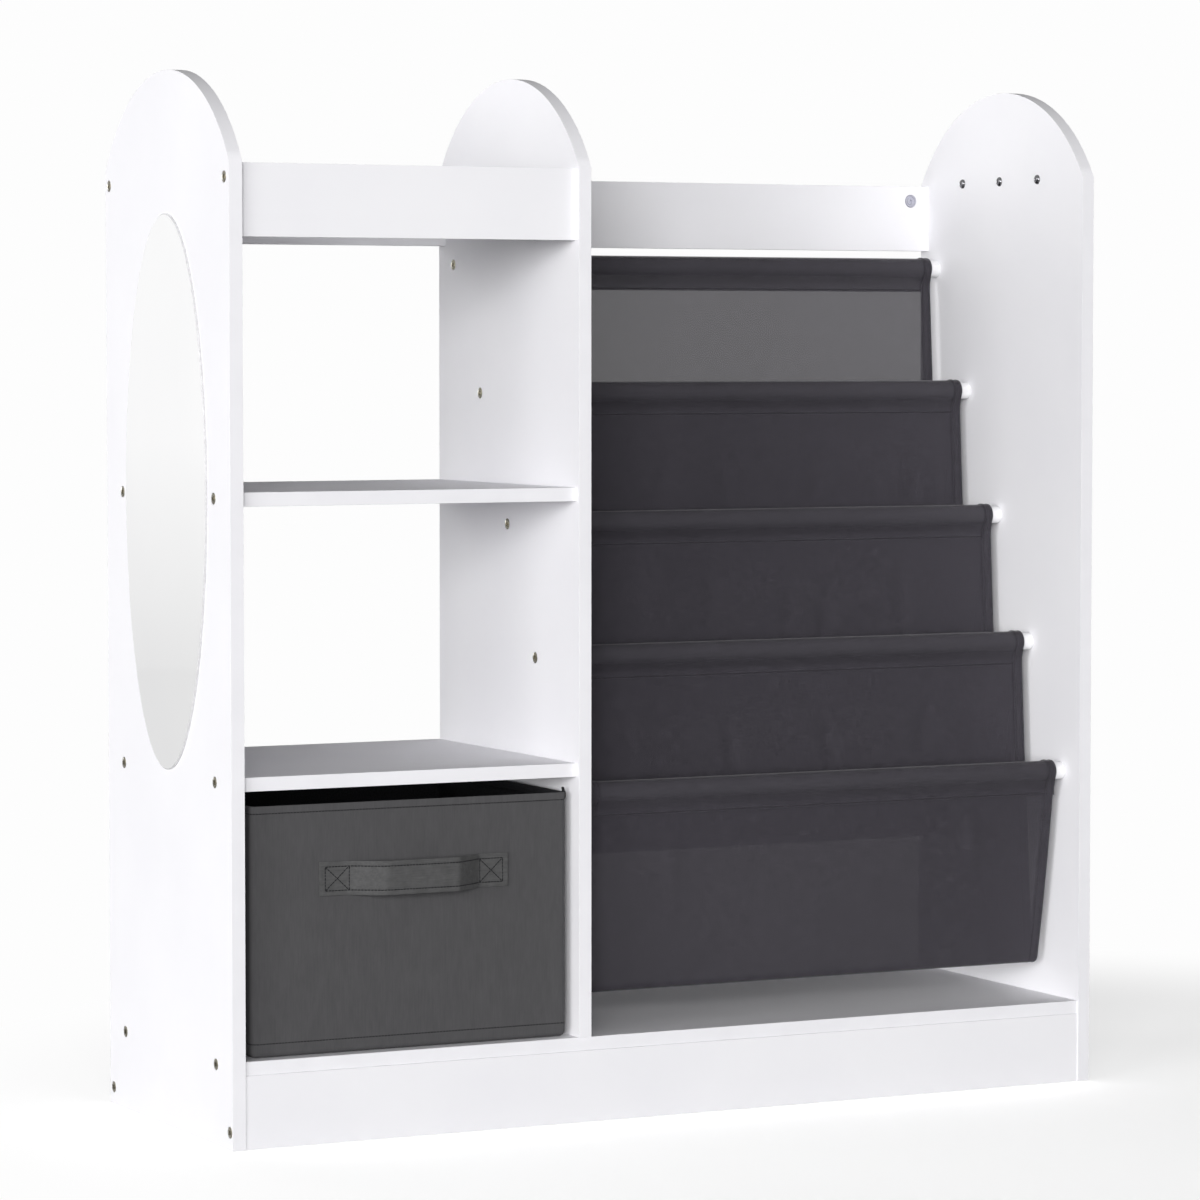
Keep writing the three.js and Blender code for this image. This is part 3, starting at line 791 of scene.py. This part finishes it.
strip_columns, hem_columns = 104, 4
strip = hung_strip("sling_strip", -sling_width / 2, sling_width / 2, strip_columns, 0)
strip.data.materials.append(sling_cloth)
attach(strip, "case")
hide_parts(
    *[f"sling_sleeve_{n}" for n in range(1, 6)], *[f"sling_pocket_{n}" for n in range(1, 5)]
)

hem_width = 10 * mm
hem_lift = -(cloth + 0.1 * mm)
for side, sign in (("left", -1), ("right", 1)):
    edge, inner = sign * sling_width / 2, sign * (sling_width / 2 - hem_width)
    hem = hung_strip(
        f"sling_hem_{side}", min(edge, inner), max(edge, inner), hem_columns, hem_lift
    )
    hem.data.materials.append(sling_cloth)
    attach(hem, "case")

# The sling's stitches. Fine charcoal thread, in small tight stitches that sink a little into the
# cloth: two rows down each hem, seen on both faces, and one row under each dowel.

stitch_long = 2.6 * mm
stitch_pitch = 3.5 * mm
stitch_radius, stitch_tip = 0.34 * mm, 0.12 * mm
thread_lift = cloth / 2 + 0.05 * mm
stitch_model = turned("stitch_model", 5, [
    (-0.5 * stitch_long, stitch_tip), (-0.3 * stitch_long, stitch_radius),
    (0.3 * stitch_long, stitch_radius), (0.5 * stitch_long, stitch_tip),
])
stitch_model.data.transform(rightward)


def stitch_places(line, pitch=stitch_pitch):
    """Where a seam's stitches lie, from its line of places and the way off the cloth at each."""
    places = []
    left = pitch / 2
    for (start, off), (end, _) in zip(line, line[1:]):
        way = end - start
        length = way.length
        way.normalize()
        across = off.cross(way).normalized()
        turn = Matrix((way, across, way.cross(across))).transposed().to_4x4()
        while left < length:
            places.append(Matrix.Translation(start + way * left) @ turn)
            left += pitch
        left -= length
    return places


def sewn(name, places, thread, body, bold=1.0):
    """A seam as one piece, with a copy of the stitch, made bolder or not, at each place."""
    model = stitch_model.data.copy()
    model.transform(Matrix.Diagonal((1, bold, bold, 1)))
    corners, faces = [], []
    for place in places:
        first = len(corners)
        corners += [place @ vertex.co for vertex in model.vertices]
        faces += [[first + index for index in face.vertices] for face in model.polygons]
    bpy.data.meshes.remove(model)
    mesh = bpy.data.meshes.new(name)
    mesh.from_pydata(corners, [], faces)
    mesh.shade_smooth()
    mesh.materials.append(thread)
    seam = bpy.data.objects.new(name, mesh)
    bpy.context.collection.objects.link(seam)
    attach(seam, body)
    return seam


def twisted_thread(name, dark, light, roughness, shine):
    """The material of a sewing thread, its twist seen as fine noise."""
    thread, tree, surface = principled(name)
    twist = object_noise(tree, 2600, detail=2)
    colour_by(tree, surface, twist, dark, light, 0.35, 0.65)
    surface.inputs["Roughness"].default_value = roughness
    surface.inputs["Specular IOR Level"].default_value = shine
    add_bump(tree, surface, twist, 0.1 * mm, 0.6)
    return thread


sling_thread = twisted_thread(
    "sling_thread", (0.012, 0.011, 0.014), (0.026, 0.024, 0.029), 0.6, 0.35
)
outer_row, inner_row = 1.8 * mm, hem_width - 1.6 * mm
seam_steps = 40

for side, sign in (("left", -1), ("right", 1)):
    places = []
    for inset in (outer_row, inner_row):
        across = sign * (sling_width / 2 - inset)
        outer, inner = [], []
        for row in rows:
            off = Vector((0, -row.inward[0], -row.inward[1]))
            outer.append((hang(across, row, hem_lift - thread_lift), off))
            if row.panel >= 0:
                inner.append((hang(across, row, thread_lift), -off))
            elif inner:
                places += stitch_places(inner)
                inner = []
        places += stitch_places(outer)
    sewn(f"sling_hem_stitches_{side}", places, sling_thread, "case")

places = []
for row in rows:
    if row.seam:
        off = Vector((0, -row.inward[0], -row.inward[1]))
        reach = sling_width / 2 - hem_width
        places += stitch_places([
            (hang(reach * step / seam_steps, row, -thread_lift), off)
            for step in range(-seam_steps, seam_steps + 1)
        ])
sewn("sling_seam_stitches", places, sling_thread, "case", 1.3)

# The mirror. A thin oval of silvered acrylic with a bevelled and polished rim is stuck to the
# outside of the left side.

silvering, tree, surface = principled("mirror_silvering")
haze = object_noise(tree, 5, detail=3)
colour_by(tree, surface, haze, (0.95, 0.95, 0.955), (0.98, 0.98, 0.98), 0.3, 0.7)
surface.inputs["Metallic"].default_value = 1
roughness_by(tree, surface, haze, 0.02, 0.05)

rim_acrylic, tree, surface = principled("mirror_rim")
polish = object_noise(tree, 300, detail=2)
colour_by(tree, surface, polish, (0.50, 0.50, 0.51), (0.60, 0.60, 0.61), 0.3, 0.7)
roughness_by(tree, surface, polish, 0.12, 0.22)
add_bump(tree, surface, polish, 0.02 * mm, 0.3)

low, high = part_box("oval_mirror")
mirror_middle = (low + high) / 2
half_wide, half_high = (high.y - low.y) / 2, (high.z - low.z) / 2
rim_wide = 0.9 * mm
rim_straight, rim_slope = 1.2 * mm, 0.7 * mm
bpy.ops.mesh.primitive_circle_add(
    vertices=144, radius=half_high, fill_type="NGON", rotation=(0, -math.pi / 2, 0),
    location=(high.x, mirror_middle.y, mirror_middle.z),
)
mirror = bpy.context.object
mirror.name = "oval_mirror_plate"
mirror.scale = (1, half_wide / half_high, 1)
bpy.ops.object.transform_apply(location=True, rotation=True, scale=True)
bpy.ops.object.mode_set(mode="EDIT")
bpy.ops.mesh.select_all(action="SELECT")
bpy.ops.mesh.extrude_region_move(TRANSFORM_OT_translate={"value": (-rim_straight, 0, 0)})
bpy.ops.mesh.inset(thickness=rim_wide)
bpy.ops.transform.translate(value=(-rim_slope, 0, 0))
close_end()
mirror.data.materials.append(rim_acrylic)
mirror.data.materials.append(silvering)
for face in mirror.data.polygons:
    face.material_index = 1 if face.normal.x < -square_on else 0
smooth_below(mirror, 25)
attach(mirror, "case")
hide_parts("oval_mirror")

# The bin. An open box of dark grey felted cloth over card slides into the lowest cubby. Its rim is
# turned in and sewn, its lining is dark cloth painted near black as shade inside the bin, and a
# second row of stitches runs round above its foot.
# The wall is one wrapped length, closed by a seam down its right front corner.

bin_cloth, tree, surface = principled("bin_cloth")
fibres = object_noise(tree, 950, stretch=(1, 1, 0.05), detail=3, roughness=0.6)
felt = object_noise(tree, 150, stretch=(1, 1, 0.35), detail=5, roughness=0.65)
felted = worked(tree, "MULTIPLY", worked(tree, "ADD", fibres, felt), 0.5)
colour_by(tree, surface, felted, (0.070, 0.069, 0.072), (0.084, 0.083, 0.086), 0.35, 0.65)
roughness_by(tree, surface, felted, 1.0, 0.85)
surface.inputs["Specular IOR Level"].default_value = 0.15
add_bump(tree, surface, fibres, 0.12 * mm, 0.3)

# The lining's near-black colour is partly a dark lining cloth and partly painted shade inside the
# bin.
bin_lining_painted_shade, tree, surface = principled("bin_lining_painted_shade")
weave = object_noise(tree, 700, detail=3)
colour_by(tree, surface, weave, (0.016, 0.016, 0.018), (0.030, 0.030, 0.033), 0.3, 0.7)
surface.inputs["Roughness"].default_value = 0.95
surface.inputs["Specular IOR Level"].default_value = 0.1
add_bump(tree, surface, weave, 0.2 * mm, 0.5)

bin_low, bin_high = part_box("bin_shell")
bin_middle = (bin_low + bin_high) / 2
bin_size = bin_high - bin_low
bin_wall = 3 * mm
corner_radius = 6 * mm
foot_radius = 5 * mm
rim_seam = bin_high.z - 6.5 * mm
foot_seam = bin_low.z + 12 * mm
groove = 0.9 * mm
front_bulge, side_bulge = 0.7 * mm, 0.9 * mm
bulge_low = 0.8
seam_draw = 0.8 * mm
seam_reach = 0.3 * mm
rim_proud = 0.3 * mm


def wall_out(spot):
    """The way out of the bin's wall at a point on its skin, level."""
    reach_x = bin_size.x / 2 - corner_radius
    reach_y = bin_size.y / 2 - corner_radius
    side = spot - bin_middle
    side.x -= max(-reach_x, min(reach_x, side.x))
    side.y -= max(-reach_y, min(reach_y, side.y))
    side.z = 0
    return side


def bin_skin(spot):
    """A point of the bin's plain box, moved as its soft wall bulges or a seam draws it in."""
    out = wall_out(spot)
    if out.length < 0.8 * corner_radius:
        return spot
    out.normalize()
    up = min(1.0, max(0.0, (spot.z - bin_low.z) / bin_size.z))
    rise = math.sin(math.pi * up ** bulge_low)
    wide = math.cos(math.pi * (spot.x - bin_middle.x) / bin_size.x)
    deep = math.cos(math.pi * (spot.y - bin_middle.y) / bin_size.y)
    bulge = rise * (front_bulge * wide * abs(out.y) + side_bulge * deep * abs(out.x))
    for seam in (rim_seam, foot_seam):
        if abs(spot.z - seam) < seam_reach:
            bulge -= seam_draw
    if spot.z > rim_seam + 2 * seam_reach:
        bulge += rim_proud
    return spot + out * bulge


def pick_edges(piece, wanted):
    """Leaves the piece in edit mode with just the wanted edges selected, told by their two ends."""
    mesh = piece.data
    only(piece)
    bpy.context.tool_settings.mesh_select_mode = (False, True, False)
    mesh.vertices.foreach_set("select", [False] * len(mesh.vertices))
    mesh.polygons.foreach_set("select", [False] * len(mesh.polygons))
    for edge in mesh.edges:
        edge.select = wanted(*(mesh.vertices[index].co for index in edge.vertices))
    bpy.ops.object.mode_set(mode="EDIT")


def pick_faces(piece, wanted):
    """Leaves the piece in edit mode with just the wanted faces selected."""
    mesh = piece.data
    only(piece)
    bpy.context.tool_settings.mesh_select_mode = (False, False, True)
    mesh.vertices.foreach_set("select", [False] * len(mesh.vertices))
    mesh.edges.foreach_set("select", [False] * len(mesh.edges))
    for face in mesh.polygons:
        face.select = wanted(face)
    bpy.ops.object.mode_set(mode="EDIT")


def block(name, low, high):
    """A plain block between two corners, the start of a piece."""
    bpy.ops.mesh.primitive_cube_add(size=1, location=(low + high) / 2)
    piece = bpy.context.object
    piece.name = name
    piece.scale = high - low
    bpy.ops.object.transform_apply(location=True, rotation=True, scale=True)
    return piece


shell = block("bin_cloth_shell", bin_low, bin_high)
pick_edges(shell, lambda a, b: abs(a.z - b.z) > 0.1)
bpy.ops.mesh.bevel(offset=corner_radius, segments=5, affect="EDGES")
bpy.ops.object.mode_set(mode="OBJECT")
pick_edges(shell, lambda a, b: max(a.z, b.z) < bin_low.z + 1 * mm)
bpy.ops.mesh.bevel(offset=foot_radius, segments=4, affect="EDGES")
bpy.ops.object.mode_set(mode="OBJECT")
pick_faces(shell, lambda face: face.center.z > bin_high.z - 1 * mm)
bpy.ops.mesh.delete(type="FACE")
for axis, count in ((0, 22), (1, 20), (2, 18)):
    cross_cuts(axis, [bin_low[axis] + bin_size[axis] * step / count for step in range(1, count)])
cross_cuts(2, [
    seam + side * groove for seam in (rim_seam, foot_seam) for side in (-1.8, -0.8, 0, 0.8, 1.8)
])
bpy.ops.mesh.select_all(action="SELECT")
bpy.ops.mesh.remove_doubles(threshold=0.05 * mm)
bpy.ops.mesh.normals_make_consistent(inside=False)
bpy.ops.object.mode_set(mode="OBJECT")
for vertex in shell.data.vertices:
    vertex.co = bin_skin(vertex.co)
shell.data.materials.append(bin_cloth)
shell.data.materials.append(bin_lining_painted_shade)
shape_with(
    shell, "SOLIDIFY", thickness=bin_wall, offset=-1, use_even_offset=True, material_offset=1
)
ease_edges(shell, 0.9 * mm, 3, 60)
smooth_below(shell, 40)
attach(shell, "bin")
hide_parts("bin_shell")

bin_thread = twisted_thread(
    "bin_thread", (0.006, 0.006, 0.007), (0.014, 0.014, 0.016), 0.7, 0.2
)


def bin_outline(height):
    """The way round the bin's wall at one height, for its stitches."""
    corners = []
    for side_x, side_y, start in ((1, -1, -90), (1, 1, 0), (-1, 1, 90), (-1, -1, 180)):
        centre = bin_middle + Vector((
            side_x * (bin_size.x / 2 - corner_radius), side_y * (bin_size.y / 2 - corner_radius), 0,
        ))
        for step in range(7):
            angle = math.radians(start + 15 * step)
            corners.append(centre + Vector((math.cos(angle), math.sin(angle), 0)) * corner_radius)
    line = []
    for here, there in zip(corners, corners[1:] + corners[:1]):
        cuts = max(1, round((there - here).length / (15 * mm)))
        for step in range(cuts):
            spot = here.lerp(there, step / cuts)
            spot.z = height
            line.append((bin_skin(spot), wall_out(spot).normalized()))
    return line + line[:1]


bin_pitch = 2.9 * mm
places = stitch_places(bin_outline(rim_seam), bin_pitch)
places += stitch_places(bin_outline(foot_seam), bin_pitch)
sewn("bin_wall_stitches", places, bin_thread, "bin", 1.5)

# The piping is a real seam ridge in near-black thread, its dark colour painted shade at the corner.
piping_wide = 3 * mm
piping_proud = 0.9 * mm
piping_pitch = 12 * mm
loop_high, loop_lean = 4 * mm, 0.8 * mm
piping_foot = Vector((bin_high.x - 1 * mm, bin_low.y + corner_radius, bin_low.z + foot_radius))
piping = block("bin_corner_piping_painted_shade", piping_foot, Vector((
    bin_high.x + piping_proud, piping_foot.y + piping_wide, bin_high.z + loop_high,
)))
bpy.ops.object.mode_set(mode="EDIT")
cross_cuts(2, [piping_foot.z + piping_pitch * step for step in range(1, 18)])
cross_cuts(2, [bin_high.z + 0.5 * mm, bin_high.z + 2 * mm])
bpy.ops.object.mode_set(mode="OBJECT")
for vertex in piping.data.vertices:
    loop = max(0.0, vertex.co.z - bin_high.z) / loop_high
    vertex.co.y += loop_lean * loop * loop
ease_edges(piping, 0.8 * mm, 3, 50)
smooth_below(piping, 50)
piping.data.materials.append(bin_thread)
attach(piping, "bin")

# The bin's base board. A loose card covered with the bin's lining, painted near black as shade,
# lies on its floor and keeps it square. It is bevelled all round so that it drops in easily.

low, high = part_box("bin_base_insert")
insert = block("bin_base_board", low, high)
pick_edges(insert, lambda a, b: abs(a.z - b.z) > 1 * mm)
bpy.ops.mesh.bevel(offset=3 * mm, segments=4, affect="EDGES")
bpy.ops.object.mode_set(mode="OBJECT")
ease_edges(insert, 0.8 * mm, 3, 50)
smooth_below(insert, 40)
insert.data.materials.append(bin_lining_painted_shade)
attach(insert, "bin")
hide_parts("bin_base_insert")

# The bin's handle. A strap of the bin's cloth, folded over along both edges, is sewn flat to the
# front at both ends with a boxed cross, and stands off the bin between them for a hand.

handle_cloth, tree, surface = principled("handle_cloth")
fibres = object_noise(tree, 900, stretch=(0.08, 1, 1), detail=3, roughness=0.6)
felt = object_noise(tree, 170, detail=4, roughness=0.6)
felted = worked(tree, "MULTIPLY", worked(tree, "ADD", fibres, felt), 0.5)
colour_by(tree, surface, felted, (0.068, 0.068, 0.069), (0.098, 0.098, 0.099), 0.35, 0.65)
surface.inputs["Roughness"].default_value = 0.9
surface.inputs["Specular IOR Level"].default_value = 0.15
add_bump(tree, surface, fibres, 0.2 * mm, 0.5)

low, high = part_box("bin_handle")
strap_long = high.x - low.x
strap_wide = high.z - low.z
strap_thick = 2 * mm
stand_off = high.y - low.y - strap_thick
pad_long = 28 * mm
ramp_long = 26 * mm
bend_soft = {"left": 5 * mm, "right": 1.6 * mm}
bend_samples = (-1, -0.5, 0, 0.5, 1)
stitch_inset = 4.2 * mm
strap_rise = (
    (0, -0.25), (0.035, 0.1), (0.085, 0.22), (0.125, 0.12), (0.145, -0.3), (0.165, 0.05),
    (0.24, 0.12), (0.5, 0.2),
)
strap_across = list(strap_rise) + [(1 - place, rise) for place, rise in strap_rise[-2::-1]]


def strap_depth(along):
    """How far the strap stands off the bin, at a place along it from its left end."""
    depth = 0.0
    soft = bend_soft["left" if along < strap_long / 2 else "right"]
    for step in bend_samples:
        spot = along + step * soft
        inner = min(spot, strap_long - spot) - pad_long
        depth += stand_off * min(1.0, max(0.0, inner / ramp_long)) / len(bend_samples)
    return depth


def strap_point(along, up, lift):
    """A point of the strap, and the way off it, at lift from the middle of its thickness."""
    slope = (strap_depth(along + 0.5 * mm) - strap_depth(along - 0.5 * mm)) / mm
    off = Vector((-slope, -1, 0)).normalized()
    middle = Vector((
        low.x + along, high.y - strap_thick / 2 - strap_depth(along), low.z + up,
    ))
    return middle + off * lift, off


strap_columns = 120
bpy.ops.mesh.primitive_grid_add(
    x_subdivisions=strap_columns, y_subdivisions=len(strap_across) - 1, size=1
)
strap = bpy.context.object
strap.name = "bin_handle_strap"
for vertex in strap.data.vertices:
    place, rise = strap_across[round((vertex.co.y + 0.5) * (len(strap_across) - 1))]
    vertex.co, _ = strap_point((vertex.co.x + 0.5) * strap_long, place * strap_wide, rise * mm)
thickened(strap, strap_thick)
ease_edges(strap, 0.7 * mm, 3, 50)
smooth_below(strap, 40)
strap.data.materials.append(handle_cloth)
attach(strap, "bin")
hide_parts("bin_handle")

box_start = 5.2 * mm
box_end = pad_long - 0.5 * mm
stitch_lift = strap_thick / 2 + 0.1 * mm
stitch_top = strap_wide - stitch_inset


def strap_line(start, end):
    """A straight row of stitches on the strap, from one place (along, up) to another."""
    steps = max(8, round(abs(end[0] - start[0]) / (2 * mm)))
    line = []
    for step in range(steps + 1):
        share = step / steps
        along = start[0] + (end[0] - start[0]) * share
        up = start[1] + (end[1] - start[1]) * share
        line.append(strap_point(along, up, stitch_lift))
    return line


places = []
for up in (stitch_inset, stitch_top):
    places += stitch_places(
        strap_line((box_start, up), (strap_long - box_start, up)), bin_pitch
    )
for start, end in ((box_start, box_end), (strap_long - box_end, strap_long - box_start)):
    for first, last in (
        ((start, stitch_inset), (start, stitch_top)), ((end, stitch_inset), (end, stitch_top)),
        ((start, stitch_inset), (end, stitch_top)), ((start, stitch_top), (end, stitch_inset)),
    ):
        places += stitch_places(strap_line(first, last), bin_pitch)
sewn("bin_handle_stitches", places, bin_thread, "bin", 1.4)
bpy.data.objects.remove(stitch_model)
